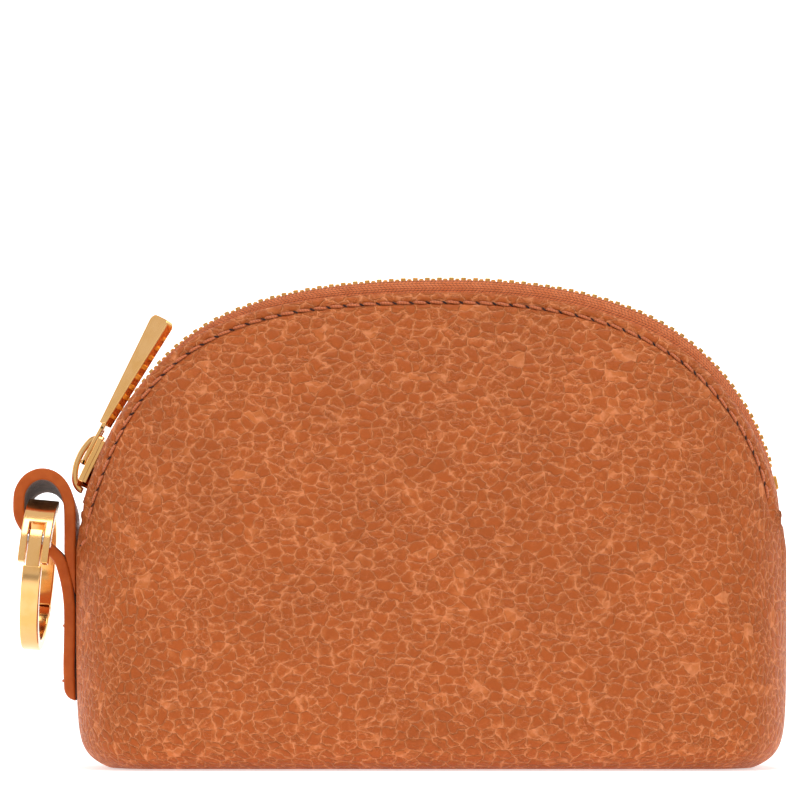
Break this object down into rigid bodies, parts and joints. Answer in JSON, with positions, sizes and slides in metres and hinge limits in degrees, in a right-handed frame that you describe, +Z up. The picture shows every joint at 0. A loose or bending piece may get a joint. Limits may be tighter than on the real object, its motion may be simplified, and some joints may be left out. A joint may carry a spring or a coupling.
{
  "type": "zippered pouch",
  "caption": "Small half-moon zippered pouch in grained leather, standing on a boxed base, with a metal zip over its arch, and a strap loop holding a gated key ring.",
  "frame": {"origin": "centre of the flat base, on the surface the pouch stands on", "axes": "+X from the slider's closed end and key ring towards the far end of the zip, +Y from the front panel to the back panel, +Z up"},
  "size_m": [0.1259, 0.037, 0.08],
  "materials": {
    "leather": "matte",
    "strap_leather": "matte",
    "lining": "matte",
    "board": "matte",
    "thread": "matte",
    "tape": "matte",
    "gold": "polished",
    "gold_teeth": "satin",
    "steel": "satin"
  },
  "bodies": {
    "pouch": {"leather_tub": "leather", "lining_tub": "lining", "base_stiffener": "board", "end_topstitch": "thread", "zip_end_left": "tape", "zip_end_right": "tape", "end_teeth": "gold_teeth", "top_stops": "gold_teeth", "bottom_stop": "gold_teeth", "strap_tail": "strap_leather", "strap_stitches": "thread"},
    "front_lip": {"front_lip_leather": "leather", "front_lip_lining": "lining", "front_tape": "tape", "front_teeth": "gold_teeth", "front_topstitch": "thread"},
    "back_lip": {"back_lip_leather": "leather", "back_lip_lining": "lining", "back_tape": "tape", "back_teeth": "gold_teeth", "back_topstitch": "thread"},
    "slider": {"slider_body": "gold", "slider_crown": "gold"},
    "puller": {"puller": "gold"},
    "strap_loop": {"strap_loop": "strap_leather"},
    "key_ring": {"ring_body": "gold", "gate_pin": "gold", "gate_spring": "steel"},
    "ring_gate": {"gate": "gold"}
  },
  "joints": [
    {"name": "slider_travel", "type": "hinge", "parent": "pouch", "child": "slider", "pos_m": [0.00102, 0, 0.02257], "axis": [0, 1, 0], "range_deg": [0, 121], "deforming": ["front_tape", "back_tape", "front_teeth", "back_teeth", "zip_end_left", "zip_end_right", "end_teeth"]},
    {"name": "front_lip_open", "type": "hinge", "parent": "pouch", "child": "front_lip", "pos_m": [0, -0.013, 0.0449], "axis": [1, 0, 0], "range_deg": [0, 22]},
    {"name": "back_lip_open", "type": "hinge", "parent": "pouch", "child": "back_lip", "pos_m": [0, 0.013, 0.0449], "axis": [-1, 0, 0], "range_deg": [0, 22]},
    {"name": "puller_swing", "type": "hinge", "parent": "slider", "child": "puller", "pos_m": [-0.05688, 0, 0.04974], "axis": [0, -1, 0], "range_deg": [0, 110]},
    {"name": "strap_flex", "type": "hinge", "parent": "pouch", "child": "strap_loop", "pos_m": [-0.0588, 0, 0.0311], "axis": [0, -1, 0], "range_deg": [0, 9], "stiffness_Nm_per_rad": 0.02, "deforming": ["strap_loop"]},
    {"name": "ring_swing", "type": "hinge", "parent": "strap_loop", "child": "key_ring", "pos_m": [-0.0642, 0, 0.0392], "axis": [0, 1, 0], "range_deg": [-3, 12]},
    {"name": "gate_open", "type": "hinge", "parent": "key_ring", "child": "ring_gate", "pos_m": [-0.06382, -0.00992, 0.037], "axis": [-0.9957, 0, 0.0924], "range_deg": [0, 22], "stiffness_Nm_per_rad": 0.004}
  ],
  "couplings": [
    {"joint": "front_lip_open", "follows": "slider_travel", "ratio": 0.18181},
    {"joint": "back_lip_open", "follows": "slider_travel", "ratio": 0.18181}
  ]
}
